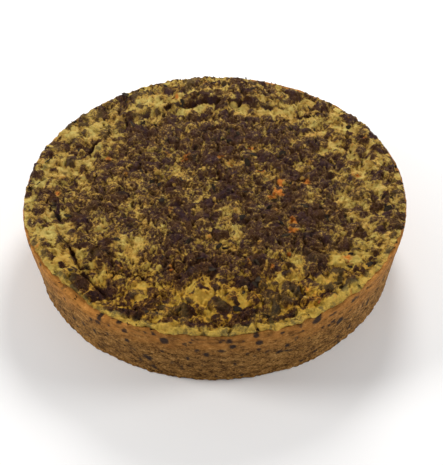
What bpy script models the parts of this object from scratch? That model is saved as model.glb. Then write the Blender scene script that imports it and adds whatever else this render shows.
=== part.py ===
"""Spinach pie: a straight-sided pastry case with a baked filling of spinach, egg and cheese.

The filling clings to the case, overlaps its rim with a thin lip, and sinks at a ring-shaped crack
to a blistered middle. +Z is up, the front is at -Y, and the base rests on z = 0. Metres throughout.
"""

import math

import bmesh
import bpy
from mathutils import Vector, noise

# Driving dimensions of the pastry case.
RIM_RADIUS = 0.130
BASE_RADIUS = 0.1260
RIM_HEIGHT = 0.0474
WALL = 0.0055
FLOOR = 0.005
EDGE_ROUND = 0.0013
FOOT_ROUND = 0.0022
WALL_ROWS = 7
WALL_RELIEF = 0.0007
WALL_BULGE_SIZE = 0.030
WALL_PIT_SIZE = 0.008

# The rim stands a little higher on the right, and has slumped in one place at the front left.
RIM_LEAN = 0.0010
RIM_LEAN_TOWARDS = math.radians(10)
RIM_DIP = 0.0062
RIM_DIP_AT = math.radians(-126)
RIM_DIP_WIDTH = math.radians(11)
RIM_CRUMBLE = 0.0009
CRUMB_SIZE = 0.009
SAG_SIZE = 0.025

# Driving dimensions of the filling.
GAP = 0.0003
LIP_INSET = 0.0014
LIP_INSET_SWING = 0.0008
LIP_WAVE_SIZE = 0.013
LIP_THICKNESS = 0.0014
LIP_SLOPE = 0.0003
CRACK_RADIUS = 0.1085
CRACK_SWING = 0.0110
CRACK_SWING_TOWARDS = math.radians(-72)
CRACK_WANDER = 0.0025
CRACK_WANDER_SIZE = 0.022
STEP_WIDTH = 0.0022
STEP_LEAST = 0.0007
COLLAR_RISE = 0.0009
MIDDLE_HEIGHT = 0.0480
MIDDLE_EDGE_DROP = 0.0004
BLISTER_HEIGHT = 0.0015
BLISTER_SIZE = 0.017
PIMPLE_HEIGHT = 0.0012
PIMPLE_SIZE = 0.0095

# Where the middle has sunk most, as direction in degrees, depth and spread in degrees:
# the back, the left, the right and the front.
SUNKEN_STRETCHES = ((98, 0.0040, 38), (192, 0.0026, 26), (20, 0.0016, 22), (-92, 0.0014, 30))

# How finely the solids are faceted.
AROUND = 160
COLLAR_RINGS = 5

PASTRY_COLOUR = (0.29, 0.145, 0.045, 1.0)
FILLING_COLOUR = (0.16, 0.105, 0.03, 1.0)


def bump(x, y, z, size, seed):
    """Smooth noise from -1 to 1, with features about as wide as size."""
    return noise.noise(Vector((x / size + seed, y / size - seed, z / size + 0.37 * seed)))


def turn_between(angle, other):
    """The smallest turn between two directions, as a positive angle."""
    return abs((angle - other + math.pi) % (2 * math.pi) - math.pi)


def rim_height(angle):
    """Height of the top of the pastry wall in this direction."""
    x, y = RIM_RADIUS * math.cos(angle), RIM_RADIUS * math.sin(angle)
    lean = RIM_LEAN * math.cos(angle - RIM_LEAN_TOWARDS)
    dip = RIM_DIP * math.exp(-((turn_between(angle, RIM_DIP_AT) / RIM_DIP_WIDTH) ** 2))
    crumble = RIM_CRUMBLE * (bump(x, y, 0, CRUMB_SIZE, 3.1) + bump(x, y, 0, SAG_SIZE, 8.6))
    return RIM_HEIGHT + lean - dip + crumble


def crack_radius(angle):
    """Distance from the centre to the ring-shaped crack in this direction."""
    x, y = CRACK_RADIUS * math.cos(angle), CRACK_RADIUS * math.sin(angle)
    swing = CRACK_SWING * math.cos(angle - CRACK_SWING_TOWARDS)
    return CRACK_RADIUS + swing + CRACK_WANDER * bump(x, y, 0, CRACK_WANDER_SIZE, 5.4)


def lip_radius(angle):
    """Distance from the centre to the edge of the filling's lip."""
    x, y = RIM_RADIUS * math.cos(angle), RIM_RADIUS * math.sin(angle)
    return RIM_RADIUS - LIP_INSET + LIP_INSET_SWING * bump(x, y, 0, LIP_WAVE_SIZE, 1.7)


def blisters(x, y):
    """The bubbled relief of the browned top."""
    wide = BLISTER_HEIGHT * bump(x, y, 0, BLISTER_SIZE, 2.2)
    return wide + PIMPLE_HEIGHT * bump(x, y, 0, PIMPLE_SIZE, 6.9)


def middle_height(share, angle):
    """Height of the sunken middle; share is 0 at the centre and 1 at the crack."""
    edge = rim_height(angle) - MIDDLE_EDGE_DROP
    return MIDDLE_HEIGHT + (edge - MIDDLE_HEIGHT) * share**2


def step_height(angle):
    """How far the middle sinks below the collar in this direction."""
    depth = STEP_LEAST
    for direction, drop, spread in SUNKEN_STRETCHES:
        away = turn_between(angle, math.radians(direction)) / math.radians(spread)
        depth += drop * math.exp(-(away**2))
    return depth


def collar_height(share, angle):
    """Height of the collar; share is 0 at the crack and 1 at the edge of the lip."""
    inner = middle_height(1, angle) + step_height(angle)
    outer = rim_height(angle) + GAP + LIP_THICKNESS
    crown = COLLAR_RISE * math.sin(math.pi * share)
    return inner + (outer - inner) * share + crown


def material(name, colour, roughness):
    made = bpy.data.materials.new(name)
    made.use_nodes = True
    shader = made.node_tree.nodes["Principled BSDF"]
    shader.inputs["Base Color"].default_value = colour
    shader.inputs["Roughness"].default_value = roughness
    return made


def clear_scene():
    for obj in list(bpy.data.objects):
        bpy.data.objects.remove(obj)


def linked(name, mesh, collection):
    obj = bpy.data.objects.new(name, mesh)
    collection.objects.link(obj)
    return obj


def case_profile():
    """Half section of the case: along the floor, up inside, over the rim and down the outside."""
    inner = RIM_RADIUS - WALL
    points = [(0, FLOOR), (inner, FLOOR), (inner, RIM_HEIGHT), (RIM_RADIUS - EDGE_ROUND, RIM_HEIGHT)]
    top, bottom = RIM_HEIGHT - EDGE_ROUND, FOOT_ROUND
    for row in range(WALL_ROWS + 1):
        share = row / WALL_ROWS
        radius = RIM_RADIUS + (BASE_RADIUS - RIM_RADIUS) * share
        points.append((radius, top + (bottom - top) * share))
    points += [(BASE_RADIUS - FOOT_ROUND, 0), (0, 0)]
    return points


def turned(name, profile, collection):
    """A closed solid turned from a half section with a Screw modifier, as a plain mesh."""
    mesh = bpy.data.meshes.new(name + "_profile")
    edges = [(i, i + 1) for i in range(len(profile) - 1)]
    mesh.from_pydata([(r, 0, z) for r, z in profile], edges, [])
    outline = linked(name + "_profile", mesh, collection)
    screw = outline.modifiers.new("Turn", "SCREW")
    screw.steps = AROUND
    screw.render_steps = AROUND
    screw.use_merge_vertices = True
    screw.merge_threshold = 0.00001
    graph = bpy.context.evaluated_depsgraph_get()
    solid = bpy.data.meshes.new_from_object(outline.evaluated_get(graph))
    bpy.data.objects.remove(outline)
    return linked(name, solid, collection)


def shape_case(case):
    """Raises each stretch of wall to the uneven rim, and gives the outside its baked relief."""
    inner = RIM_RADIUS - WALL
    for vertex in case.data.vertices:
        x, y, z = vertex.co
        radius, angle = math.hypot(x, y), math.atan2(y, x)
        inside = radius < inner + GAP
        if z > (FLOOR if inside else 0) + GAP:
            z = FOOT_ROUND + (z - FOOT_ROUND) * (rim_height(angle) - FOOT_ROUND) / (RIM_HEIGHT - FOOT_ROUND)
        if not inside and z > GAP:
            rough = bump(x, y, z, WALL_BULGE_SIZE, 4.4) + 0.7 * bump(x, y, z, WALL_PIT_SIZE, 7.3)
            scale = (radius + WALL_RELIEF * rough) / radius
            x, y = x * scale, y * scale
        vertex.co = (x, y, z)


def build_case(collection):
    case = turned("pastry_case", case_profile(), collection)
    shape_case(case)
    case.data.materials.append(material("Baked shortcrust", PASTRY_COLOUR, 0.75))
    return case


def disc_point(x, y):
    """Moves a point of the square from -1 to 1 to the unit disc, keeping even steps round its edge."""
    if abs(x) < 1e-9 and abs(y) < 1e-9:
        return 0.0, 0.0
    if abs(x) >= abs(y):
        radius, angle = x, math.pi / 4 * y / x
    else:
        radius, angle = y, math.pi / 2 - math.pi / 4 * x / y
    return radius * math.cos(angle), radius * math.sin(angle)


def sunken_middle(shape):
    """The filling's middle: a grid drawn out to the crack, with the blistered relief."""
    cells = AROUND // 4
    bmesh.ops.create_grid(shape, x_segments=cells, y_segments=cells, size=1)
    for vertex in shape.verts:
        u, v = disc_point(vertex.co.x, vertex.co.y)
        share, angle = math.hypot(u, v), math.atan2(v, u)
        reach = crack_radius(angle) - STEP_WIDTH
        x, y = u * reach, v * reach
        vertex.co = (x, y, middle_height(share, angle) + blisters(x, y))


def extruded_ring(shape, place):
    """Extrudes the open edge once, and puts each new point where place(angle) says."""
    edges = [edge for edge in shape.edges if edge.is_boundary]
    made = bmesh.ops.extrude_edge_only(shape, edges=edges)["geom"]
    for vertex in (item for item in made if isinstance(item, bmesh.types.BMVert)):
        angle = math.atan2(vertex.co.y, vertex.co.x)
        radius, z = place(angle)
        vertex.co = (radius * math.cos(angle), radius * math.sin(angle), z)


def collar_ring(share):
    """Where a ring of the collar lies; share is 0 at the crack and 1 at the edge of the lip."""

    def place(angle):
        radius = crack_radius(angle) + (lip_radius(angle) - crack_radius(angle)) * share
        x, y = radius * math.cos(angle), radius * math.sin(angle)
        relief = blisters(x, y) * (1 - share**3)
        return radius, collar_height(share, angle) + relief

    return place


def build_filling(collection):
    shape = bmesh.new()
    sunken_middle(shape)
    for ring in range(COLLAR_RINGS + 1):
        extruded_ring(shape, collar_ring(ring / COLLAR_RINGS))
    inside = RIM_RADIUS - WALL - GAP
    extruded_ring(shape, lambda angle: (lip_radius(angle) - LIP_SLOPE, rim_height(angle) + GAP))
    extruded_ring(shape, lambda angle: (inside, rim_height(angle) + GAP))
    extruded_ring(shape, lambda angle: (inside, FLOOR + GAP))
    bmesh.ops.holes_fill(shape, edges=[edge for edge in shape.edges if edge.is_boundary], sides=0)
    bmesh.ops.triangulate(shape, faces=shape.faces)
    bmesh.ops.recalc_face_normals(shape, faces=shape.faces)
    mesh = bpy.data.meshes.new("filling")
    shape.to_mesh(mesh)
    shape.free()
    filling = linked("filling", mesh, collection)
    mesh.materials.append(material("Browned spinach custard", FILLING_COLOUR, 0.6))
    return filling


def main():
    clear_scene()
    pie = bpy.data.collections.new("Spinach pie")
    bpy.context.scene.collection.children.link(pie)
    for obj in (build_case(pie), build_filling(pie)):
        obj.data.shade_smooth()
        obj.data.set_sharp_from_angle(angle=math.radians(40))


main()
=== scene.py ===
"""Looks of a spinach pie: its browned filling, its shortcrust case, the loose bits on it and the studio.

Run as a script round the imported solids. +Z is up, the front is at -Y, and lengths are in metres.
"""

import math
import random
from collections import Counter

import bpy
from bpy.props import FloatProperty, FloatVectorProperty, IntProperty, PointerProperty
from mathutils import Euler, Matrix, Quaternion, Vector, noise
from mathutils.bvhtree import BVHTree


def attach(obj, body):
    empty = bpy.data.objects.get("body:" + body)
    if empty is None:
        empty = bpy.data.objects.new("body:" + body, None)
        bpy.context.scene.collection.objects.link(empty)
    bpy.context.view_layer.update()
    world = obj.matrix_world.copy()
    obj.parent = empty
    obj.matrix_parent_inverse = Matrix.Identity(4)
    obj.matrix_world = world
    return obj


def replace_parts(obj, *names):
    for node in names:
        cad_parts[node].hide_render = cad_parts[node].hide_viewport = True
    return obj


bl_info = {
    "name": "Spinach pie",
    "version": (1, 0, 0),
    "blender": (4, 5, 0),
    "location": "3D View > Sidebar > Pie",
    "description": "Models a baked spinach pie round its packed solids",
    "category": "Object",
}

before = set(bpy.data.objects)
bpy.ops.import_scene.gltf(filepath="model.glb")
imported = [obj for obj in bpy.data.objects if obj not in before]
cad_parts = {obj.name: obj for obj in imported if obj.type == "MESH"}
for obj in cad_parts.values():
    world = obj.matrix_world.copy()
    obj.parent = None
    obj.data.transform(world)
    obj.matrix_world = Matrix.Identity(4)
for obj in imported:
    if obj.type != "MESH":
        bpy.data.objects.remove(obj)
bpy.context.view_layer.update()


def surface_of(mesh):
    """A mesh's faces, to drop points on."""
    corners = [vertex.co.copy() for vertex in mesh.vertices]
    return BVHTree.FromPolygons(corners, [tuple(face.vertices) for face in mesh.polygons])


FILLING_SOLID = surface_of(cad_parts["filling"].data)
CASE_SOLID = surface_of(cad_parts["pastry_case"].data)

MM = 0.001

# The case: its outer radius and mean height at the rim, and the middle line of the top of its wall.
RIM_RADIUS = 0.13
RIM_HEIGHT = 0.0474
RIM_LINE = 0.1272

# The case's fit to its solid: the lowest and highest places where the wall is probed, the turns to each
# side that are averaged, the foot's rounding, how far the rounded edges draw in, the base's share of the
# rim's width, its rings of faces, and how much paler the top of the wall is.
LOWEST_PROBE = 0.0024
PROBE_BELOW_RIM = 0.0016
PROBE_TURNS = (-0.035, 0.0, 0.035)
FOOT_ROUND = 0.0022
EDGE_TUCK = 0.0006
BASE_SHARE = 0.975
BASE_INSETS = (0.0012, 0.003, 0.012, 0.03, 0.04)
WALL_TOP_PALER = 0.14

# The filling's lip over the wall: its reach, the reach of the grid's inner half, how far out the solid
# gives the height, where the lip rounds off and how much it falls there.
LIP_REACH = 0.1290
MIDDLE_REACH = 0.1286
SOLID_REACH = 0.1262
LIP_CORNER = 0.1292
LIP_FALL = 0.0007

# The side's patterns: noise from broad to grain, with spots and pits.
SIDE_BROAD = 0.016
SIDE_MEDIUM = 0.006
SIDE_FINE = 0.0028
SIDE_GRAIN = 0.0015
SIDE_SPOT = 0.0046
SIDE_PIT = 0.0035

# How far out the leaves and the curds lie, and the ring that the rim's flakes stick up from.
LEAF_REACH = 0.122
CURD_REACH = 0.124
FLAKE_RING = 0.1288

# Soft lights, as name, place and power in watts.
LIGHT_WIDTH = 0.4
LIGHTS = (
    ("left", (-0.95, 0.0, 0.62), 7.5),
    ("right", (0.95, 0.0, 0.62), 5.2),
    ("back", (0.15, 0.85, 0.7), 7.2),
)

# The ring-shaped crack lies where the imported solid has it.
CRACK_RADIUS = 0.1085
CRACK_SWING = 0.0110
CRACK_SWING_TOWARDS = math.radians(-72)
CRACK_WANDER = 0.0025
CRACK_WANDER_SIZE = 0.022

# The top's patterns: blisters and curds are cells, the rest is noise from broad to grain, and all but
# the grain is pushed out of shape by two warps.
BLISTER = 0.0105
CURD = 0.0058
BROAD = 0.024
MEDIUM = 0.012
SMALL = 0.006
FINE = 0.003
GRAIN = 0.0017
WARP = 0.0030
FINE_WARP = 0.0015
FINE_WARP_SIZE = 0.004

# Stretches where the crack gapes, as direction and spread in degrees and depth in millimetres:
# the back, the back left, the left, the front left, the front and the right.
CRACK_GAPES = ((103, 18, 2.4), (72, 14, 1.2), (150, 12, 1.2), (200, 16, 0.9), (228, 14, 1.3), (-72, 26, 1.6),
               (15, 10, 0.6))

# Stretches where the filling leaves the top of the crust bare, as direction and spread in degrees and width
# in millimetres: the front left, the back right and the right.
BARE_RIM = ((-130, 17, 4.2), (62, 18, 2.6), (-32, 12, 1.2), (8, 14, 0.8))

# Yellow patches of bare cheese custard, as x, y, spread and strength; lengths in millimetres.
YELLOW_PATCHES = (
    (-22, 91, 8, 1.2), (-48, 92, 9, 0.9), (-33, 97, 6, 0.6), (-85, 67, 8, 1.0), (-93, 58, 6, 0.7),
    (-88, -1, 6, 1.0), (-84, -6, 5, 0.9), (-92, 6, 5, 0.6), (-38, 20, 8, 0.9), (-29, 22, 6, 0.8),
    (-42, 9, 5, 0.7), (-68, -32, 6, 1.1), (-74, -38, 5, 0.8), (-43, -37, 6, 0.9), (-8, 20, 5, 0.9),
    (-62, -47, 6, 0.8), (-50, -53, 8, 1.0), (-40, -58, 5, 0.8), (-14, -37, 4, 0.9), (-112, -42, 14, 1.0),
    (-100, -72, 12, 1.0), (-94, -86, 9, 0.9), (-76, -101, 10, 0.9), (-5, -90, 9, 1.1), (7, -97, 9, 1.0),
    (14, -80, 6, 0.8), (10, -52, 5, 0.9), (30, -92, 5, 0.7), (-50, -104, 8, 0.6), (-28, -118, 9, 0.8),
    (60, -104, 8, 1.0), (46, -104, 6, 0.8), (85, -67, 7, 1.0), (94, -88, 9, 0.9), (80, -101, 7, 0.9),
    (116, 0, 9, 0.9), (117, 16, 7, 0.8), (111, -30, 8, 0.9), (108, -52, 9, 1.0), (80, 62, 7, 0.9),
    (72, 73, 7, 0.8), (56, 84, 6, 0.9), (86, 46, 5, 0.7), (36, 92, 6, 0.7), (20, 99, 6, 0.8),
    (27, 37, 4, 0.7), (92, 108, 8, 0.6), (112, 42, 7, 0.7), (-105, 40, 5, 0.5), (-118, 20, 8, 0.5),
    (0, 108, 9, 0.6), (36, 14, 4, 0.8), (22, -25, 5, 0.6), (58, 24, 4, 0.7), (-3, 6, 3, 0.5),
    (67, -82, 5, 0.7), (50, 5, 4, 0.7), (-58, 78, 6, 0.5), (60, 112, 8, 0.5), (34, -66, 6, 0.7),
)
# Scorched patches, as x, y, spread and strength.
SCORCHED_PATCHES = (
    (-84, 88, 15, 0.9), (-72, 102, 9, 0.6), (-28, 113, 12, 0.7), (26, 68, 13, 0.8), (-55, 58, 14, 0.5),
    (-100, 46, 7, 0.9), (0, 62, 7, 0.8), (-17, -54, 7, 0.9), (-60, 18, 10, 0.5), (-30, -12, 22, 0.5),
    (34, -55, 11, 0.7), (64, -60, 16, 0.9), (60, -25, 16, 0.7), (-70, -62, 9, 0.7), (-55, -80, 12, 0.7),
    (10, 0, 18, 0.5), (-10, -117, 8, 1.3), (30, -111, 6, 1.3), (42, -114, 4, 1.0), (65, -89, 6, 1.3),
    (26, -86, 7, 1.1), (-62, -97, 8, 0.9), (-45, -106, 6, 0.9), (5, -104, 4, 1.0), (-18, -107, 4, 0.8),
    (86, -84, 5, 1.1), (96, -79, 4, 0.9), (42, -101, 5, 1.0), (84, 30, 7, 0.9), (80, 88, 5, 0.9),
    (34, 112, 14, 0.6), (100, 72, 8, 0.6), (-112, -52, 8, 0.8), (-96, -55, 6, 0.8), (120, -12, 6, 0.6),
    (-120, 48, 8, 0.5), (88, -45, 8, 0.6), (-85, -25, 8, 0.5), (-5, -68, 9, 0.6), (-28, -92, 10, 0.7),
)
# Spots of orange vegetable and melted cheese oil, as x, y, spread and strength.
ORANGE_PATCHES = (
    (42, -4, 4, 1.0), (45, 3, 4, 0.9), (38, -9, 3, 0.8), (58, 8, 3, 0.9), (64, 5, 3, 0.9), (31, 15, 3, 0.8),
    (-20, 33, 3, 0.9), (-23, 27, 3, 0.8), (5, 33, 3, 0.8), (-76, 32, 3, 0.8), (53, -33, 4, 0.7),
    (50, -42, 3, 0.7), (101, 12, 3, 0.8), (-26, -73, 3, 0.8), (27, 42, 3, 0.7), (-31, 101, 3, 0.8),
    (62, -102, 4, 0.5), (-108, -6, 3, 0.8), (13, 26, 2, 0.7), (84, -67, 3, 0.7), (110, 50, 3, 0.6),
    (20, -72, 3, 0.5), (46, -62, 3, 0.5), (36, -74, 3, 0.6),
)
# Spinach near the surface, as x, y, spread and strength.
SPINACH_PATCHES = (
    (-108, -20, 4, 1.0), (-103, -28, 3, 0.9), (-1, -78, 2, 1.0), (40, -13, 4, 0.7), (8, -27, 2, 0.9),
    (-72, 107, 3, 0.9), (-80, -71, 4, 0.8), (31, -112, 4, 0.5), (-126, -2, 4, 0.9), (27, -70, 4, 0.7),
    (43, -68, 3, 0.9), (27, -87, 4, 0.8), (-90, -76, 2, 0.8), (-68, -60, 4, 0.7), (92, -58, 2, 0.6),
    (-17, -52, 4, 0.6), (-44, 8, 3, 0.6), (98, 64, 4, 0.4), (-84, 90, 7, 0.5), (60, -20, 5, 0.3),
    (75, -30, 5, 0.4), (46, -48, 4, 0.5), (-40, -110, 3, 0.6), (-2, 66, 3, 0.5), (-105, 72, 4, 0.4),
)
# Half the width of a tear in millimetres, and the tears, each a line of x, y points in millimetres.
TEAR_WIDTH = 1.1
TEARS = (
    ((-66, -73), (-58, -76), (-50, -76), (-43, -80), (-35, -78), (-27, -76)),
    ((-113, -14), (-108, -23), (-103, -30)), ((-98, -44), (-93, -57), (-86, -69), (-80, -78)),
    ((56, -46), (59, -55), (57, -63)), ((59, -55), (65, -60), (72, -61)), ((66, -50), (73, -52)),
    ((-8, -121), (6, -123), (20, -123)), ((27, -120), (38, -120), (50, -116), (57, -112)),
    ((-80, 53), (-78, 60), (-83, 70)), ((62, 80), (70, 78), (80, 82)), ((-10, 8), (2, 10), (12, 6)),
    ((-52, -104), (-42, -109), (-32, -108)), ((52, -86), (60, -80)), ((10, -60), (16, -66), (24, -64)),
)
# Dark spots in the side, as direction in degrees, height and width in millimetres.
SIDE_SPOTS = (
    (-116, 45, 3.4), (-103, 39, 4.6), (-86, 43, 3.2), (-85, 37, 3.4), (-79, 46, 3.2), (-78, 38, 3.6),
    (-72, 44, 2.2), (-62, 44, 5.0), (-122, 40, 2.8), (-125, 35, 2.2), (-114, 29, 2.6), (-92, 29, 3.0),
    (-97, 23, 2.2), (-78, 31, 1.8), (-70, 28, 2.6), (-53, 29, 4.4), (-40, 22, 3.2), (-134, 18, 2.4),
    (-111, 11, 2.2), (-60, 8, 2.2), (-57, 31, 2.2), (-96, 41, 1.8), (-108, 44, 1.6), (-66, 39, 1.6),
)


def linear(hex_colour):
    """A linear RGBA colour from an sRGB hex value."""
    parts = [int(hex_colour[i : i + 2], 16) / 255 for i in (1, 3, 5)]
    return [c / 12.92 if c <= 0.04045 else ((c + 0.055) / 1.055) ** 2.4 for c in parts] + [1.0]


def smooth(low, high, value):
    """0 below low and 1 above high, with a soft change between; low may be the larger."""
    share = min(max((value - low) / (high - low), 0.0), 1.0)
    return share * share * (3 - 2 * share)


def bump(x, y, z, size, seed):
    """Smooth noise from -1 to 1, with features about as wide as size."""
    return noise.noise(Vector((x / size + seed, y / size - seed, z / size + 0.37 * seed)))


def node(tree, kind, links=None, stops=None, **settings):
    """Adds a node, sets its properties, links or sets each socket, and fills a colour ramp's stops."""
    made = tree.nodes.new(kind)
    for name, value in settings.items():
        setattr(made, name, value)
    for socket, source in (links or {}).items():
        if isinstance(source, bpy.types.NodeSocket):
            tree.links.new(source, made.inputs[socket])
        else:
            made.inputs[socket].default_value = source
    if stops:
        blank = made.color_ramp.elements
        blank[0].position, blank[0].color = stops[0]
        blank[-1].position, blank[-1].color = stops[-1]
        for place, colour in stops[1:-1]:
            blank.new(place).color = colour
    return made


def new_material(name):
    made = bpy.data.materials.new(name)
    made.use_nodes = True
    return made, made.node_tree, made.node_tree.nodes["Principled BSDF"]


def select_only(piece):
    bpy.ops.object.select_all(action="DESELECT")
    piece.select_set(True)
    bpy.context.view_layer.objects.active = piece


def apply_modifier(piece, kind, **settings):
    select_only(piece)
    made = piece.modifiers.new(kind.title(), kind)
    for name, value in settings.items():
        setattr(made, name, value)
    bpy.ops.object.modifier_apply(modifier=made.name)


def pick(piece, mode, wanted):
    """In edit mode, selects the vertices, edges or faces that wanted(item) is true for."""
    select_only(piece)
    bpy.ops.object.mode_set(mode="EDIT")
    bpy.ops.mesh.select_mode(type=mode)
    bpy.ops.mesh.select_all(action="DESELECT")
    bpy.ops.object.mode_set(mode="OBJECT")
    items = {"VERT": piece.data.vertices, "EDGE": piece.data.edges, "FACE": piece.data.polygons}[mode]
    for item in items:
        item.select = bool(wanted(item))
    bpy.ops.object.mode_set(mode="EDIT")


def finish_piece(piece, name, material, sharp):
    """Names a piece, gives it its finish, and hangs it on the body."""
    piece.name = piece.data.name = name
    piece.data.materials.clear()
    piece.data.materials.append(material)
    select_only(piece)
    bpy.ops.object.shade_smooth_by_angle(angle=math.radians(sharp))
    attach(piece, "root")
    return piece


def patch_strength(patches, x, y):
    """How strongly the nearest of some listed patches acts here; x and y in millimetres."""
    most = 0.0
    for px, py, spread, strength in patches:
        dx, dy = x - px, y - py
        if abs(dx) < 2 * spread and abs(dy) < 2 * spread:
            most = max(most, strength * math.exp(-1.2 * (dx * dx + dy * dy) / (spread * spread)))
    return most


def turn_from(direction, angle):
    """The turn from a direction in degrees to an angle in radians, from -pi to pi."""
    return (angle - math.radians(direction) + math.pi) % (2 * math.pi) - math.pi


def crack_radius(angle):
    """Distance from the centre to the ring-shaped crack in this direction."""
    x, y = CRACK_RADIUS * math.cos(angle), CRACK_RADIUS * math.sin(angle)
    swing = CRACK_SWING * math.cos(angle - CRACK_SWING_TOWARDS)
    return CRACK_RADIUS + swing + CRACK_WANDER * bump(x, y, 0, CRACK_WANDER_SIZE, 5.4)


def crack_depth(angle):
    """How deep the ring-shaped crack gapes in this direction, in millimetres."""
    depth = 0.0
    for direction, spread, gape in CRACK_GAPES:
        share = turn_from(direction, angle) / math.radians(spread)
        depth = max(depth, gape * math.exp(-(share**2)))
    return depth


def tear_depth(x, y):
    """Closeness to the nearest tear: 1 on its line, 0 outside it; x and y in millimetres."""
    least = TEAR_WIDTH
    for line in TEARS:
        if abs(x - line[0][0]) > 45 or abs(y - line[0][1]) > 35:
            continue
        for (ax, ay), (bx, by) in zip(line, line[1:]):
            ux, uy = bx - ax, by - ay
            along = min(max(((x - ax) * ux + (y - ay) * uy) / (ux * ux + uy * uy), 0), 1)
            least = min(least, math.hypot(x - ax - along * ux, y - ay - along * uy))
    return 1 - least / TEAR_WIDTH


def cell_at(x, y, size, seed):
    """How far inside its cell a point lies, 0 on the border, and the cell's own number from -0.5 to 0.5."""
    near, centres = noise.voronoi(Vector((x / size + seed, y / size - seed, 0.5)))
    return near[1] - near[0], noise.noise(7.3 * centres[0])


def baked_top(x, y):
    """The top's finish at a point: relief in metres, then browning with painted shade and light, spinach,
    orange and paleness, 0 to 1.
    """
    radius, angle = math.hypot(x, y), math.atan2(y, x)
    wx = x + WARP * bump(x, y, 0, MEDIUM, 1.3) + FINE_WARP * bump(x, y, 0, FINE_WARP_SIZE, 9.1)
    wy = y + WARP * bump(x, y, 0, MEDIUM, 7.7) + FINE_WARP * bump(x, y, 0, FINE_WARP_SIZE, 3.4)
    mx, my = wx / MM, wy / MM
    far = smooth(0.072, 0.110, radius)
    front = smooth(-0.056, -0.100, y + 0.3 * (wx - x) + 2.0 * (wy - y))
    sides = far * smooth(0.080, 0.112, abs(x))
    wide, mid = bump(wx, wy, 0, BROAD, 2.2), bump(wx, wy, 0, MEDIUM, 6.9)
    small, fine = bump(wx, wy, 0, SMALL, 4.1), bump(wx, wy, 0, FINE, 8.8)
    grain = bump(x, y, 0, GRAIN, 5.2)
    inside, own = cell_at(wx, wy, BLISTER, 3.9)
    curd_inside, curd_own = cell_at(wx, wy, CURD, 13.1)
    yellow = patch_strength(YELLOW_PATCHES, mx, my)
    scorched = patch_strength(SCORCHED_PATCHES, mx, my)

    # How wide the brown skin has opened, 0 to 0.95: more so near the edge and the front.
    open_skin = 0.27 + 0.17 * far + 0.10 * front + 0.06 * sides
    open_skin += 0.14 * wide + 0.28 * mid + (0.22 + 0.12 * far) * small
    open_skin += yellow * (0.34 + 0.4 * small) - (0.24 + 0.16 * far) * scorched
    open_skin = min(max(open_skin, 0.0), 0.95)

    # The skin stays on the blisters, and the custard shows in the valleys, with seared curds in it.
    inward = inside + 0.42 * curd_inside + 0.16 * small + 0.10 * fine
    edge = 0.66 * open_skin - 0.3 * own
    edge += 0.85 * front * (0.08 + 0.17 * yellow - 0.6 * own - edge)
    skin = smooth(edge - 0.12, edge + 0.18, inward)
    seared = smooth(0.20 - 0.08 * front, 0.50 - 0.14 * front, curd_inside)
    seared *= smooth(-0.1 * front, 0.2, curd_own) * smooth(0.2, 0.5, open_skin)
    brown = 0.61 + 0.13 * front - 0.06 * far - (0.60 + 0.44 * front) * open_skin * (1 - 0.84 * skin)
    brown += 0.30 * own + (0.22 + 0.26 * far) * curd_own + (0.26 + 0.24 * far + 0.44 * front) * seared
    # Painted shade and light: the fine noise and the grain paint the relief's hollows darker and its rises
    # lighter.
    brown += 0.10 * small - 0.30 * fine - 0.36 * grain + 0.08 * scorched

    # Orange spots, and spinach in patches and in small scattered scraps.
    orange = smooth(0.3, 0.75, patch_strength(ORANGE_PATCHES, mx, my) + 0.5 * small + 0.4 * fine)
    leaf = smooth(0.35, 0.7, patch_strength(SPINACH_PATCHES, mx, my) + 0.35 * fine + 0.12 * grain)
    leaf = max(leaf, 0.8 * smooth(0.52, 0.62, bump(wx, wy, 0, 0.0046, 12.5) + 0.1 * fine))
    brown -= 0.38 * orange

    # The ring-shaped crack with a lighter band inside it, the tears and the pinholes, all cut into the relief
    # further down.
    crack = crack_radius(angle) - 0.0008 + 0.0030 * mid + 0.0018 * small
    gape = min(max(crack_depth(angle) * (0.8 + 1.8 * bump(x, y, 0, 0.009, 10.2)), 0.0), 3.0)
    in_crack = math.exp(-(((radius - crack) / 0.0012) ** 2)) * gape
    # Painted light: a band just inside the crack is painted lighter, as light on the floor at the foot of its
    # step.
    below = math.exp(-(((radius - crack + 0.0056) / 0.0030) ** 2)) * min(gape, 2) * 0.5
    tear = smooth(0.1, 0.9, tear_depth(x / MM + 2.4 * small + 1.0 * fine, y / MM + 2.0 * fine))
    pit = smooth(0.40, 0.58, bump(wx, wy, 0, 0.0036, 17.3)) * (0.4 + 0.6 * far)
    # Painted shade: the pinholes are painted darker; the band inside the crack is painted lighter.
    brown += 0.22 * pit - 0.40 * below
    # Painted shade: the crack and the tears are painted near black where they are cut in.
    brown = max(brown, 1.1 * min(in_crack, 1.0), 1.1 * tear)

    # The lip stayed pale at the front, and the top is a little lighter towards the right.
    outer = radius + 0.0016 * mid + 0.0012 * small
    lip = smooth(0.1222, 0.1252, outer) * smooth(-0.030, -0.090, y)
    brown -= 0.05 * far * smooth(0.04, 0.11, x)
    brown += lip * (0.15 - brown) * 0.75 - 0.20 * lip * (small + fine)
    pale = min(0.9 * lip + 0.25 * smooth(0.0, 0.5, mid + 0.3 * small) * far, 1.0)

    # Relief in millimetres: domed blisters and curds with a rough skin, then what is cut into them.
    dome = math.sin(0.5 * math.pi * min(inside / 0.42, 1.0))
    curd_dome = math.sin(0.5 * math.pi * min(curd_inside / 0.40, 1.0))
    relief = 2.1 * dome * (0.35 + 0.65 * skin) + 1.0 * curd_dome
    relief += 1.2 * own + 1.1 * small + 1.4 * fine + 1.0 * grain - 2.5
    relief -= 1.3 * in_crack + 1.9 * tear + 0.25 * leaf + 0.8 * pit
    return relief * MM, min(max(brown, 0.0), 1.0), leaf, orange, pale


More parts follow.
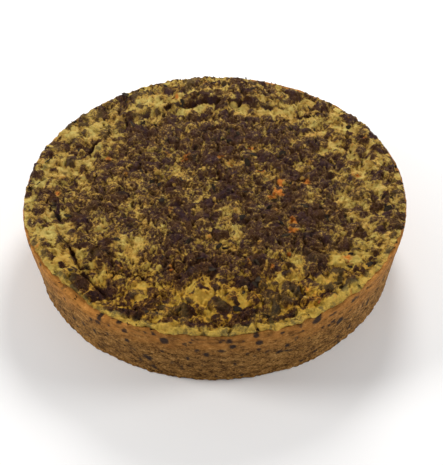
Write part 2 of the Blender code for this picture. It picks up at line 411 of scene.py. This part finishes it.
def filling_material(colours):
    """Set custard of egg and cheese with spinach, browned and blistered by the oven's top heat.

    The eye sees a dry, dark brown skin on the blisters, yellow and slightly greasy custard between
    them, and a fine grain of curds and seared spots all over.
    """
    made, tree, shader = new_material("Browned spinach custard")
    place = node(tree, "ShaderNodeTexCoord").outputs["Object"]
    # The bake attribute holds browning in red, with painted shade in the cracks, tears, pinholes and fine
    # hollows and a painted lighter band inside the crack; spinach in green, orange in blue and paleness in
    # alpha.
    bake = node(tree, "ShaderNodeAttribute", attribute_name="bake")
    parts = node(tree, "ShaderNodeSeparateColor", {"Color": bake.outputs["Color"]})
    # Curds of about 1.4 mm with a finer grain on them, and drifts of tint about 8 mm across.
    curds = node(tree, "ShaderNodeTexNoise", {"Vector": place, "Scale": 740.0, "Detail": 4.0,
                                              "Roughness": 0.8})
    drift = node(tree, "ShaderNodeTexNoise", {"Vector": place, "Scale": 120.0, "Detail": 4.0,
                                              "Roughness": 0.65})
    # Browning slides each point along the ramps, and the curds' grain shifts it to both sides: darker where
    # the bump below sinks and lighter where it rises, as painted shade and painted light on the grain.
    shift = node(tree, "ShaderNodeMath", {0: 0.5, 1: curds.outputs["Fac"]}, operation="SUBTRACT")
    swing = node(tree, "ShaderNodeMath", {0: parts.outputs["Red"], 1: 1.7, 2: 1.05}, operation="MULTIPLY_ADD")
    shift = node(tree, "ShaderNodeMath", {0: shift.outputs[0], 1: swing.outputs[0], 2: parts.outputs["Red"]},
                 operation="MULTIPLY_ADD")
    ramp = node(tree, "ShaderNodeValToRGB", {"Fac": shift.outputs[0]}, stops=(
        (0.02, colours.pale_custard), (0.20, colours.custard), (0.36, colours.golden_custard),
        (0.52, colours.browned), (0.68, colours.dark_brown), (0.86, colours.scorched),
        (1.0, linear("#2b170e"))))
    # Towards the front the custard stayed moist: golden, then amber and red brown where it browned.
    along = node(tree, "ShaderNodeSeparateXYZ", {"Vector": place})
    moist = node(tree, "ShaderNodeMapRange", {"Value": along.outputs["Y"], "From Min": -0.05,
                                              "From Max": -0.10, "To Min": 0.0, "To Max": 1.0})
    glazed = node(tree, "ShaderNodeValToRGB", {"Fac": shift.outputs[0]}, stops=(
        (0.02, linear("#f6d674")), (0.20, linear("#dab04a")), (0.36, linear("#a87a32")),
        (0.52, linear("#785024")), (0.68, linear("#5a3618")), (0.86, linear("#42220f")),
        (1.0, linear("#28120a"))))
    base = node(tree, "ShaderNodeMix", {0: moist.outputs[0], 6: ramp.outputs["Color"],
                                        7: glazed.outputs["Color"]}, data_type="RGBA")
    # Dark skin drifts between golden brown and purple brown, less so where it is moist.
    hue = node(tree, "ShaderNodeValToRGB", {"Fac": drift.outputs["Fac"]}, stops=(
        (0.40, linear("#59360e")), (0.5, linear("#553324")), (0.60, linear("#4c323a"))))
    dark = node(tree, "ShaderNodeMapRange", {"Value": shift.outputs[0], "From Min": 0.4, "From Max": 0.7,
                                             "To Min": 0.0, "To Max": 0.62})
    dry = node(tree, "ShaderNodeMath", {0: moist.outputs[0], 1: -0.6, 2: 1.0}, operation="MULTIPLY_ADD")
    deep = node(tree, "ShaderNodeMath", {0: dark.outputs[0], 1: dry.outputs[0]}, operation="MULTIPLY")
    skin = node(tree, "ShaderNodeMix", {0: deep.outputs[0], 6: base.outputs[2], 7: hue.outputs["Color"]},
                data_type="RGBA")
    # Light custard drifts between orange and lemon yellow, and turns to egg yolk at the front.
    rich = node(tree, "ShaderNodeValToRGB", {"Fac": drift.outputs["Fac"]}, stops=(
        (0.40, linear("#e69e28")), (0.5, linear("#e8b236")), (0.60, linear("#dabc50"))))
    light = node(tree, "ShaderNodeMapRange", {"Value": shift.outputs[0], "From Min": 0.45, "From Max": 0.15,
                                              "To Min": 0.0, "To Max": 0.42})
    runny = node(tree, "ShaderNodeMapRange", {"Value": along.outputs["Y"], "From Min": -0.03,
                                              "From Max": -0.11, "To Min": 1.0, "To Max": 1.8})
    golden = node(tree, "ShaderNodeMath", {0: light.outputs[0], 1: runny.outputs[0]}, operation="MULTIPLY")
    half = node(tree, "ShaderNodeMath", {0: moist.outputs[0], 1: 0.5}, operation="MULTIPLY")
    yolk = node(tree, "ShaderNodeMix", {0: half.outputs[0], 6: rich.outputs["Color"], 7: linear("#f6b622")},
                data_type="RGBA")
    custard = node(tree, "ShaderNodeMix", {0: golden.outputs[0], 6: skin.outputs[2], 7: yolk.outputs[2]},
                   data_type="RGBA")
    pale = node(tree, "ShaderNodeMath", {0: bake.outputs["Alpha"], 1: 0.30}, operation="MULTIPLY")
    paled = node(tree, "ShaderNodeMix", {0: pale.outputs[0], 6: custard.outputs[2], 7: linear("#ecd878")},
                 data_type="RGBA")
    warm = node(tree, "ShaderNodeMath", {0: parts.outputs["Blue"], 1: 0.9}, operation="MULTIPLY")
    orange = node(tree, "ShaderNodeMix", {0: warm.outputs[0], 6: paled.outputs[2], 7: linear("#c06a22")},
                  data_type="RGBA", blend_type="COLOR")
    leafy = node(tree, "ShaderNodeMath", {0: parts.outputs["Green"], 1: 0.85}, operation="MULTIPLY")
    leaf = node(tree, "ShaderNodeMix", {0: leafy.outputs[0], 6: orange.outputs[2], 7: list(colours.spinach)},
                data_type="RGBA")
    sheen = node(tree, "ShaderNodeMapRange", {"Value": curds.outputs["Fac"], "From Min": 0.3, "From Max": 0.7,
                                              "To Min": 0.62, "To Max": 0.40})
    raised = node(tree, "ShaderNodeBump", {"Height": curds.outputs["Fac"], "Strength": 1.0,
                                           "Distance": 0.0030})
    tree.links.new(leaf.outputs[2], shader.inputs["Base Color"])
    tree.links.new(sheen.outputs[0], shader.inputs["Roughness"])
    tree.links.new(raised.outputs["Normal"], shader.inputs["Normal"])
    shader.inputs["Specular IOR Level"].default_value = 0.10
    return made


def crust_material(colours):
    """Shortcrust baked against a steel ring: matt, sandy and golden, with pits and fat-fried flecks."""
    made, tree, shader = new_material("Baked shortcrust")
    place = node(tree, "ShaderNodeTexCoord").outputs["Object"]
    # The bake attribute holds darkness in red, with painted shade in the pits, spots in green and warmth in
    # blue.
    bake = node(tree, "ShaderNodeAttribute", attribute_name="bake")
    parts = node(tree, "ShaderNodeSeparateColor", {"Color": bake.outputs["Color"]})
    # Streaks about 5 mm long where the dough was pressed to the ring, half as long again as they are
    # high, crumbs of about 1.3 mm, and drifts about 22 mm across.
    flat = node(tree, "ShaderNodeMapping", {"Vector": place, "Scale": (1.0, 1.0, 1.5)})
    streaks = node(tree, "ShaderNodeTexNoise", {"Vector": flat.outputs[0], "Scale": 210.0,
                                                "Detail": 5.0, "Roughness": 0.7})
    crumb = node(tree, "ShaderNodeTexNoise", {"Vector": flat.outputs[0], "Scale": 780.0,
                                              "Detail": 3.0, "Roughness": 0.75})
    drift = node(tree, "ShaderNodeTexNoise", {"Vector": place, "Scale": 45.0, "Detail": 2.0})
    mixed = node(tree, "ShaderNodeMath", {0: streaks.outputs["Fac"], 1: 1.3, 2: -0.95},
                 operation="MULTIPLY_ADD")
    mixed = node(tree, "ShaderNodeMath", {0: crumb.outputs["Fac"], 1: 1.4, 2: mixed.outputs[0]},
                 operation="MULTIPLY_ADD")
    mixed = node(tree, "ShaderNodeMath", {0: drift.outputs["Fac"], 1: 0.20, 2: mixed.outputs[0]},
                 operation="MULTIPLY_ADD")
    tone = node(tree, "ShaderNodeMath", {0: mixed.outputs[0], 1: parts.outputs["Red"]}, operation="SUBTRACT")
    ramp = node(tree, "ShaderNodeValToRGB", {"Fac": tone.outputs[0]}, stops=(
        (0.10, linear("#2e1a0b")), (0.28, colours.dark_crust), (0.46, colours.crust),
        (0.64, colours.golden_crust), (0.86, colours.pale_crust)))
    # Nearer the rim the oven turned the crust more orange.
    warmth = node(tree, "ShaderNodeMath", {0: parts.outputs["Blue"], 1: 0.62}, operation="MULTIPLY")
    warm = node(tree, "ShaderNodeMix", {0: warmth.outputs[0], 6: ramp.outputs["Color"],
                                        7: list(colours.rim_crust)}, data_type="RGBA")
    spots = node(tree, "ShaderNodeMath", {0: parts.outputs["Green"], 1: 0.92}, operation="MULTIPLY")
    spotted = node(tree, "ShaderNodeMix", {0: spots.outputs[0], 6: warm.outputs[2],
                                           7: list(colours.crust_spots)}, data_type="RGBA")
    raised = node(tree, "ShaderNodeBump", {"Height": crumb.outputs["Fac"], "Strength": 0.8,
                                           "Distance": 0.0006})
    tree.links.new(spotted.outputs[2], shader.inputs["Base Color"])
    tree.links.new(raised.outputs["Normal"], shader.inputs["Normal"])
    shader.inputs["Roughness"].default_value = 0.72
    shader.inputs["Specular IOR Level"].default_value = 0.08
    return made


def colour_prop(name, hex_colour, description):
    return FloatVectorProperty(name=name, default=linear(hex_colour), description=description,
                               subtype="COLOR", size=4, min=0, max=1)


class PieFilling(bpy.types.PropertyGroup):
    cells: IntProperty(name="Cells", default=286, min=40, max=300,
                       description="Cells of the fine top, along each side of its square start")
    top_smoothing: IntProperty(name="Top smoothing", default=8,
                               description="Rounds of smoothing of the large form")
    lip_raggedness: FloatProperty(name="Ragged edge", default=0.0009, unit="LENGTH",
                                  description="How far the lip's edge wanders in and out")
    wall: FloatProperty(name="Wall", default=0.0058, unit="LENGTH",
                        description="Distance from the outside of the case to the filling's own side")
    floor: FloatProperty(name="Floor", default=0.0053, unit="LENGTH",
                         description="Height of the filling's base")
    pale_custard: colour_prop("Pale custard", "#f8e48c", "Custard that stayed pale")
    custard: colour_prop("Custard", "#d8b25a", "Yellow custard between the blisters")
    golden_custard: colour_prop("Golden custard", "#926e3b", "Custard that has begun to brown")
    browned: colour_prop("Browned", "#6c5136", "Browned skin")
    dark_brown: colour_prop("Dark brown", "#5d4029", "Well browned skin")
    scorched: colour_prop("Scorched", "#482d1b", "Skin scorched nearly black")
    spinach: colour_prop("Spinach", "#271d19", "Spinach dried at the surface")


class PieCrust(bpy.types.PropertyGroup):
    around: IntProperty(name="Around", default=900, description="Facets round the case")
    rows: IntProperty(name="Rows", default=44, description="Rows of facets up the wall")
    wall: FloatProperty(name="Wall", default=0.0055, unit="LENGTH", description="Thickness of the wall")
    floor: FloatProperty(name="Floor", default=0.005, unit="LENGTH", description="Thickness of the base")
    edge_round: FloatProperty(name="Rim rounding", default=0.0013, unit="LENGTH",
                              description="Rounding of the rim")
    dark_crust: colour_prop("Dark crust", "#4a2f12", "Well baked crust")
    crust: colour_prop("Crust", "#825b2c", "Crust in the middle of the wall")
    golden_crust: colour_prop("Golden crust", "#a5783d", "Golden crust")
    pale_crust: colour_prop("Pale crust", "#cba060", "Pale, floury crust")
    rim_crust: colour_prop("Rim crust", "#c4823a", "Orange brown crust near the rim")
    crust_spots: colour_prop("Crust spots", "#242023", "Spinach and scorched spots in the crust")


class PieBits(bpy.types.PropertyGroup):
    leaves: IntProperty(name="Leaves", default=70, description="Dried spinach leaves on the top")
    curds: IntProperty(name="Curds", default=16, description="Grated cheese curds on the top")
    flakes: IntProperty(name="Flakes", default=170, description="Scorched flakes along the rim")
    seed: IntProperty(name="Seed", default=11, description="Start of the random draws")


class PieStage(bpy.types.PropertyGroup):
    floor_size: FloatProperty(name="Floor size", default=6.0, unit="LENGTH", description="Side of the floor")
    floor_colour: colour_prop("Floor", "#fcfbf9", "Pale studio floor")
    camera_place: FloatVectorProperty(name="Camera", default=(0.0046, -0.4213, 0.4243), subtype="XYZ",
                                      unit="LENGTH", description="Where the camera stands")
    camera_target: FloatVectorProperty(name="Target", default=(0.0046, 0.0030, 0.0), subtype="XYZ",
                                       unit="LENGTH", description="What the camera looks at")
    lens: FloatProperty(name="Lens", default=63.7, unit="CAMERA", description="Focal length")


def solid_radius(solid, angle, z):
    """Distance from the axis to the outside of a solid, in this direction and at this height."""
    out = Vector((math.cos(angle), math.sin(angle), 0))
    point = solid.ray_cast(out * 0.2 + Vector((0, 0, z)), -out)[0]
    return math.hypot(point.x, point.y)


def solid_top(solid, x, y):
    """Height of a solid's upper side at a point."""
    return solid.ray_cast(Vector((x, y, 0.2)), Vector((0, 0, -1)))[0].z


def rim_top(angle):
    """Height of the top of the case's wall in this direction."""
    return solid_top(CASE_SOLID, RIM_LINE * math.cos(angle), RIM_LINE * math.sin(angle))


def disc_place(u, v):
    """Turns a point of the square from -1 to 1 into a share of the disc's reach and an angle."""
    if abs(u) < 1e-9 and abs(v) < 1e-9:
        return 0.0, 0.0
    if abs(u) >= abs(v):
        return abs(u), math.pi / 4 * v / u + (math.pi if u < 0 else 0)
    return abs(v), math.pi / 2 - math.pi / 4 * u / v + (math.pi if v < 0 else 0)


class PIE_OT_filling(bpy.types.Operator):
    """Drapes a fine grid over the filling's solid, bakes its relief and closes it down to the floor"""

    bl_idname = "pie.filling"
    bl_label = "Filling"

    def execute(self, context):
        size = context.scene.pie_filling
        bpy.ops.object.select_all(action="DESELECT")
        bpy.ops.mesh.primitive_grid_add(x_subdivisions=size.cells, y_subdivisions=size.cells, size=2)
        piece = context.active_object
        self.drape(piece, size)
        apply_modifier(piece, "SMOOTH", factor=0.5, iterations=size.top_smoothing, use_x=False, use_y=False)
        self.bake(piece)
        self.close(piece, size)
        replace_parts(finish_piece(piece, "baked_filling", filling_material(size), 50),
                    "filling")
        return {"FINISHED"}

    def drape(self, piece, size):
        """Draws the square grid out to the lip's edge and drops it onto the solid."""
        for vertex in piece.data.vertices:
            share, angle = disc_place(vertex.co.x, vertex.co.y)
            c, s = math.cos(angle), math.sin(angle)
            reach = self.lip_reach(angle, size) if share > 0.5 else MIDDLE_REACH
            inner = min(share * reach, SOLID_REACH)
            vertex.co = (share * reach * c, share * reach * s, solid_top(FILLING_SOLID, inner * c, inner * s))

    def lip_reach(self, angle, size):
        """Distance from the middle to the lip's ragged edge, less where the crust is bare."""
        x, y = RIM_RADIUS * math.cos(angle), RIM_RADIUS * math.sin(angle)
        wander = 1.5 * bump(x, y, 0, 0.0075, 2.7) + 0.9 * bump(x, y, 0, FINE, 4.4)
        bare = 0.0
        for direction, spread, width in BARE_RIM:
            share = turn_from(direction, angle) / math.radians(spread)
            bare += width * MM * math.exp(-(share**2))
        return LIP_REACH + size.lip_raggedness * wander + 0.0004 * bump(x, y, 0, 0.02, 1.1) - bare

    def bake(self, piece):
        """Raises the blisters and cuts the cracks, and keeps each point's browning, painted shade and light
        included, for the finish.
        """
        mesh = piece.data
        tint = mesh.color_attributes.new("bake", "FLOAT_COLOR", "POINT")
        for vertex in mesh.vertices:
            x, y = vertex.co.x, vertex.co.y
            relief, *finish = baked_top(x, y)
            rounding = smooth(SOLID_REACH, LIP_CORNER, math.hypot(x, y))
            vertex.co.z += relief * (1 - 0.6 * rounding) - LIP_FALL * rounding
            tint.data[vertex.index].color = finish

    def close(self, piece, size):
        """Turns the edge down onto the rim, then draws it in and down inside the wall to the floor."""
        gap = 0.3 * MM
        inside = RIM_RADIUS - size.wall
        self.extrude_edge(piece, lambda radius, z, rim: (radius + gap, 0.5 * (z + rim + gap)))
        self.extrude_edge(piece, lambda radius, z, rim: (radius - 0.2 * MM, rim + gap))
        self.extrude_edge(piece, lambda radius, z, rim: (inside, rim + gap))
        self.extrude_edge(piece, lambda radius, z, rim: (inside, size.floor))
        bpy.ops.object.mode_set(mode="EDIT")
        bpy.ops.mesh.edge_face_add()
        bpy.ops.mesh.select_all(action="SELECT")
        bpy.ops.mesh.normals_make_consistent(inside=False)
        bpy.ops.object.mode_set(mode="OBJECT")

    def extrude_edge(self, piece, place):
        """Extrudes the open edge, and moves each new point to the radius and height that place gives."""
        uses = Counter(key for face in piece.data.polygons for key in face.edge_keys)
        pick(piece, "EDGE", lambda item: uses[tuple(sorted(item.vertices))] == 1)
        bpy.ops.mesh.extrude_edges_move()
        bpy.ops.object.mode_set(mode="OBJECT")
        for vertex in (item for item in piece.data.vertices if item.select):
            angle = math.atan2(vertex.co.y, vertex.co.x)
            radius, z = place(math.hypot(vertex.co.x, vertex.co.y), vertex.co.z, rim_top(angle))
            vertex.co = (radius * math.cos(angle), radius * math.sin(angle), z)


def side_bake(angle, z):
    """The wall's finish: relief in metres, then darkness, spots and warmth."""
    x, y = RIM_RADIUS * math.cos(angle), RIM_RADIUS * math.sin(angle)
    tall = 2.2 * z
    wide, mid = bump(x, y, tall, SIDE_BROAD, 3.3), bump(x, y, tall, SIDE_MEDIUM, 6.1)
    fine, grain = bump(x, y, tall, SIDE_FINE, 8.4), bump(x, y, tall, SIDE_GRAIN, 2.9)
    spot = 0.0
    for direction, up, width in SIDE_SPOTS:
        away = turn_from(direction, angle) * RIM_RADIUS / MM
        rise = z / MM - up
        if abs(away) < 6 and abs(rise) < 6:
            spot = max(spot, 1.25 * math.exp(-1.5 * (away**2 + 0.8 * rise**2) / (width / 1.3) ** 2))
    chance = bump(x, y, 0.8 * z, SIDE_SPOT, 15.7) + 0.12 * smooth(0.02, 0.045, z)
    hidden = smooth(-0.03, 0.02, y)
    spot = max(spot, smooth(0.47, 0.58, chance) * (0.55 + 0.45 * hidden))
    spot = smooth(0.25, 0.62, spot + 0.16 * fine + 0.1 * grain)
    pit = smooth(0.30, 0.62, bump(x, y, tall, SIDE_PIT, 11.9))
    upper = smooth(0.030, 0.045, z)
    dark = 0.06 * wide + (0.10 + 0.42 * upper) * mid + (0.14 + 0.36 * upper) * fine
    # Painted shade: the pits are painted darker where they are cut into the relief.
    dark += 0.10 * pit - 0.08 * upper
    foot = smooth(0.006, 0.0, z)
    dark -= 0.8 * smooth(0.0032, 0.0018, z) * smooth(-0.1, 0.15, fine + 0.5 * wide)
    warm = smooth(0.022, 0.043, z) * (0.75 + 0.35 * wide - 0.7 * mid)
    relief = 0.20 * mid + 0.18 * fine + 0.12 * grain - 0.35 * pit - 0.1 * spot
    relief += foot * (0.25 * fine + 0.2 * grain)
    return relief * MM, dark, spot, min(max(warm, 0.0), 1.0)


class PIE_OT_crust(bpy.types.Operator):
    """Raises the case from a cylinder, hollows it, fits it to the solid and bakes its side"""

    bl_idname = "pie.crust"
    bl_label = "Pastry case"

    def execute(self, context):
        size = context.scene.pie_crust
        bpy.ops.object.select_all(action="DESELECT")
        bpy.ops.mesh.primitive_cylinder_add(vertices=size.around, radius=RIM_RADIUS, depth=RIM_HEIGHT,
                                            location=(0, 0, RIM_HEIGHT / 2), end_fill_type="NGON")
        piece = context.active_object
        bpy.ops.object.transform_apply(location=True)
        heights = [vertex.co.z for vertex in piece.data.vertices]
        pick(piece, "EDGE",
             lambda item: abs(heights[item.vertices[0]] - heights[item.vertices[1]]) > RIM_HEIGHT / 2)
        bpy.ops.mesh.subdivide(number_cuts=size.rows - 1)
        bpy.ops.object.mode_set(mode="OBJECT")
        pick(piece, "FACE", lambda item: item.normal.z > 0.9)
        for inset in (size.edge_round, size.edge_round, size.wall - 2 * size.edge_round):
            bpy.ops.mesh.inset(thickness=inset, use_even_offset=False)
        bpy.ops.mesh.extrude_region_move(TRANSFORM_OT_translate={"value": (0, 0, size.floor - RIM_HEIGHT)})
        bpy.ops.object.mode_set(mode="OBJECT")
        pick(piece, "FACE", lambda item: item.normal.z < -0.9 and item.center.z < size.floor / 2)
        for inset in BASE_INSETS:
            bpy.ops.mesh.inset(thickness=inset, use_even_offset=False)
        bpy.ops.object.mode_set(mode="OBJECT")
        self.fit(piece, size)
        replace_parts(finish_piece(piece, "shortcrust_case", crust_material(size), 50),
                    "pastry_case")
        return {"FINISHED"}

    def fit(self, piece, size):
        """Moves each point to the solid's surface and adds the baked relief."""
        mesh = piece.data
        tint = mesh.color_attributes.new("bake", "FLOAT_COLOR", "POINT")
        for vertex in mesh.vertices:
            x, y, z = vertex.co
            radius, angle = math.hypot(x, y), math.atan2(y, x)
            if radius < 1e-6:
                continue
            rim = rim_top(angle)
            outside = radius > RIM_RADIUS - 0.1 * size.edge_round
            raised = z * rim / RIM_HEIGHT if z > size.floor + MM or outside else z
            if z < size.floor / 2 and not outside:
                radius *= BASE_SHARE
            relief, dark, spot, warm = side_bake(angle, raised)
            if not outside and raised > rim - MM:
                dark, warm = dark - WALL_TOP_PALER, 1.0
            if outside:
                level = min(max(raised, LOWEST_PROBE), rim - PROBE_BELOW_RIM)
                probes = [solid_radius(CASE_SOLID, angle + turn, level) for turn in PROBE_TURNS]
                over = max(raised - (rim - size.edge_round), 0) / size.edge_round
                under = max(FOOT_ROUND - raised, 0) / FOOT_ROUND * (0.2 + bump(x, y, 0, FINE, 4))
                radius = sum(probes) / len(probes) + relief + EDGE_TUCK * (under - over**2)
            elif z > size.floor + MM:
                raised += 0.6 * relief if radius > RIM_RADIUS - 3 * size.edge_round else 0
            tint.data[vertex.index].color = (dark, spot, warm, 1.0)
            vertex.co = (radius * math.cos(angle), radius * math.sin(angle), raised)


def bit_material(name, dark, light, roughness):
    """A baked scrap: its colour drifts from scrap to scrap and over each scrap."""
    made, tree, shader = new_material(name)
    place = node(tree, "ShaderNodeTexCoord").outputs["Object"]
    # Drifts about 5 mm across, with a finer grain on them.
    drift = node(tree, "ShaderNodeTexNoise", {"Vector": place, "Scale": 200.0, "Detail": 4.0,
                                              "Roughness": 0.7})
    ramp = node(tree, "ShaderNodeValToRGB", {"Fac": drift.outputs["Fac"]},
                stops=((0.34, linear(dark)), (0.66, linear(light))))
    raised = node(tree, "ShaderNodeBump", {"Height": drift.outputs["Fac"], "Strength": 0.7,
                                           "Distance": 0.001})
    tree.links.new(ramp.outputs["Color"], shader.inputs["Base Color"])
    tree.links.new(raised.outputs["Normal"], shader.inputs["Normal"])
    shader.inputs["Roughness"].default_value = roughness
    shader.inputs["Specular IOR Level"].default_value = 0.08
    return made


class PIE_OT_bits(bpy.types.Operator):
    """Strews the top and the rim with spinach, curds, orange shreds and scorched flakes"""

    bl_idname = "pie.bits"
    bl_label = "Loose bits"

    def execute(self, context):
        size = context.scene.pie_bits
        draw = random.Random(size.seed)
        top = surface_of(bpy.data.objects["baked_filling"].data)
        leaf, crumb = self.leaf(), self.crumb()

        spots = [(x * MM, y * MM) for x, y, _, _ in SPINACH_PATCHES]
        spots += [self.on_disc(draw, LEAF_REACH) for _ in range(size.leaves)]
        places = [self.lie(top, draw, x, y, draw.uniform(1.6, 3.4), 0.12, 0.35) for x, y in spots]
        finish = bit_material("Dried spinach", "#221c17", "#3c3122", 0.7)
        self.strew("spinach_leaves", leaf, places, finish, "browned_filling")

        pale = [(x + draw.gauss(0, 3), y + draw.gauss(0, 3)) for x, y, _, _ in YELLOW_PATCHES]
        spots = [(x * MM, y * MM) for x, y in pale[::2] if math.hypot(x, y) * MM < CURD_REACH]
        spots += [self.on_disc(draw, CURD_REACH) for _ in range(size.curds)]
        places = [self.lie(top, draw, x, y, draw.uniform(1.0, 2.4), 0.25, 0.35) for x, y in spots]
        finish = bit_material("Toasted curd", "#7c5a26", "#b69244", 0.6)
        self.strew("cheese_curds", crumb, places, finish, "browned_filling")

        spots = [((x + draw.gauss(0, 1.4)) * MM, (y + draw.gauss(0, 1.4)) * MM)
                 for x, y, _, _ in ORANGE_PATCHES]
        places = [self.lie(top, draw, x, y, draw.uniform(0.9, 1.9), 0.2, 0.24) for x, y in spots]
        finish = bit_material("Baked carrot", "#7a4016", "#ac6424", 0.6)
        self.strew("orange_shreds", crumb, places, finish, "browned_filling")

        places = [self.on_rim(draw) for _ in range(size.flakes)]
        finish = bit_material("Scorched flake", "#1d140d", "#4a3220", 0.75)
        self.strew("scorched_flakes", leaf, places, finish, "baked_shortcrust")
        for pattern in (leaf, crumb):
            bpy.data.objects.remove(pattern)
        return {"FINISHED"}

    def leaf(self):
        """One crinkled scrap of leaf, 2 mm long and thin."""
        bpy.ops.object.select_all(action="DESELECT")
        bpy.ops.mesh.primitive_grid_add(x_subdivisions=4, y_subdivisions=3, size=0.002)
        piece = bpy.context.active_object
        for vertex in piece.data.vertices:
            x, y = vertex.co.x, vertex.co.y
            taper = 1 - 0.55 * (abs(x) / MM) ** 1.5
            vertex.co = (x, 0.62 * y * taper, 0.5 * MM * bump(x, y, 0, 0.0009, 3.3) - 120 * x * x)
        apply_modifier(piece, "SOLIDIFY", thickness=0.00022, offset=0)
        return piece

    def crumb(self):
        """One angular crumb, 2 mm across."""
        bpy.ops.object.select_all(action="DESELECT")
        bpy.ops.mesh.primitive_ico_sphere_add(subdivisions=2, radius=MM)
        piece = bpy.context.active_object
        for vertex in piece.data.vertices:
            x, y, z = vertex.co
            vertex.co *= 1 + 0.55 * bump(x, y, z, 0.0011, 6.2)
        return piece

    def on_disc(self, draw, reach):
        radius, angle = reach * math.sqrt(draw.random()), draw.uniform(-math.pi, math.pi)
        return radius * math.cos(angle), radius * math.sin(angle)

    def lie(self, top, draw, x, y, scale, sink, squash):
        """Where a scrap lies: pressed on the top, turned at random, scale in millimetres of half length."""
        point = None
        while point is None:
            point, normal, _, _ = top.ray_cast(Vector((x, y, 0.2)), Vector((0, 0, -1)))
            x, y = 0.97 * x, 0.97 * y
        turn = normal.to_track_quat("Z", "Y") @ Quaternion((0, 0, 1), draw.uniform(-math.pi, math.pi))
        shape = Matrix.Diagonal((scale, scale * draw.uniform(0.55, 1.0), scale * squash, 1))
        return Matrix.Translation(point - normal * sink * scale * MM) @ turn.to_matrix().to_4x4() @ shape

    def on_rim(self, draw):
        """Where a flake sticks up from the edge of the crust or the lip."""
        angle = draw.choice((draw.uniform(-0.5, 2.4), draw.uniform(-math.pi, math.pi)))
        radius = FLAKE_RING - abs(draw.gauss(0, 0.0012))
        z = rim_top(angle) + draw.uniform(0.0, 0.0014)
        place = (radius * math.cos(angle), radius * math.sin(angle), z)
        turn = Euler([draw.uniform(-1.2, 1.2) for _ in range(3)]).to_matrix().to_4x4()
        scale = draw.uniform(0.5, 1.3)
        shape = Matrix.Diagonal((scale, scale * draw.uniform(0.5, 1.0), scale, 1))
        return Matrix.Translation(place) @ turn @ shape

    def strew(self, name, pattern, places, material, slot):
        """Copies the pattern to each place, each copy with its own mesh, and joins them."""
        copies = []
        for place in places:
            mesh = pattern.data.copy()
            mesh.transform(place)
            copy = bpy.data.objects.new(name, mesh)
            bpy.context.scene.collection.objects.link(copy)
            copies.append(copy)
        bpy.ops.object.select_all(action="DESELECT")
        for copy in copies:
            copy.select_set(True)
        bpy.context.view_layer.objects.active = copies[0]
        bpy.ops.object.join()
        finish_piece(copies[0], name, material, 50)


class PIE_OT_stage(bpy.types.Operator):
    """Sets the pale floor, the soft lights and the camera"""

    bl_idname = "pie.stage"
    bl_label = "Studio"

    def execute(self, context):
        size = context.scene.pie_stage
        bpy.ops.object.select_all(action="DESELECT")
        bpy.ops.mesh.primitive_plane_add(size=size.floor_size, location=(0, 0, -0.0004))
        floor = context.active_object
        bpy.ops.object.transform_apply(location=True)
        floor.name = "studio_floor"
        # Seamless studio paper: matt and evenly pale.
        paper, tree, shader = new_material("Studio paper")
        shader.inputs["Base Color"].default_value = size.floor_colour
        shader.inputs["Roughness"].default_value = 0.9
        floor.data.materials.append(paper)
        for name, place, power in LIGHTS:
            self.light(name, place, power)
        world = bpy.data.worlds.new("Studio")
        context.scene.world = world
        world.use_nodes = True
        world.node_tree.nodes["Background"].inputs["Color"].default_value = linear("#fbfbff")
        world.node_tree.nodes["Background"].inputs["Strength"].default_value = 0.32
        context.scene.view_settings.view_transform = "Standard"
        self.camera(context, size)
        return {"FINISHED"}

    def light(self, name, place, power):
        bpy.ops.object.light_add(type="AREA", location=place)
        lamp = bpy.context.active_object
        lamp.name = name
        lamp.data.shape, lamp.data.size, lamp.data.energy = "DISK", LIGHT_WIDTH, power
        lamp.rotation_euler = (Vector((0, 0, 0.02)) - Vector(place)).to_track_quat("-Z", "Y").to_euler()

    def camera(self, context, size):
        bpy.ops.object.camera_add(location=size.camera_place)
        view = context.active_object
        aim = Vector(size.camera_target) - Vector(size.camera_place)
        view.rotation_euler = aim.to_track_quat("-Z", "Y").to_euler()
        view.data.lens = size.lens
        view.data.sensor_width = 36.0
        context.scene.camera = view


class PIE_PT_panel(bpy.types.Panel):
    bl_idname = "PIE_PT_panel"
    bl_label = "Spinach pie"
    bl_space_type = "VIEW_3D"
    bl_region_type = "UI"
    bl_category = "Pie"

    def draw(self, context):
        for operator, group in STEPS:
            box = self.layout.box()
            box.operator(operator.bl_idname)
            if group:
                settings = getattr(context.scene, group)
                for name in settings.__annotations__:
                    box.prop(settings, name)


STEPS = (
    (PIE_OT_crust, "pie_crust"),
    (PIE_OT_filling, "pie_filling"),
    (PIE_OT_bits, "pie_bits"),
    (PIE_OT_stage, "pie_stage"),
)
GROUPS = {"pie_crust": PieCrust, "pie_filling": PieFilling, "pie_bits": PieBits, "pie_stage": PieStage}


def register():
    for name, group in GROUPS.items():
        bpy.utils.register_class(group)
        setattr(bpy.types.Scene, name, PointerProperty(type=group))
    for operator, _ in STEPS:
        bpy.utils.register_class(operator)
    bpy.utils.register_class(PIE_PT_panel)


def unregister():
    bpy.utils.unregister_class(PIE_PT_panel)
    for operator, _ in reversed(STEPS):
        bpy.utils.unregister_class(operator)
    for name, group in reversed(GROUPS.items()):
        delattr(bpy.types.Scene, name)
        bpy.utils.unregister_class(group)


def main():
    register()
    for operator, _ in STEPS:
        family, name = operator.bl_idname.split(".")
        getattr(getattr(bpy.ops, family), name)()


if __name__ == "__main__":
    main()
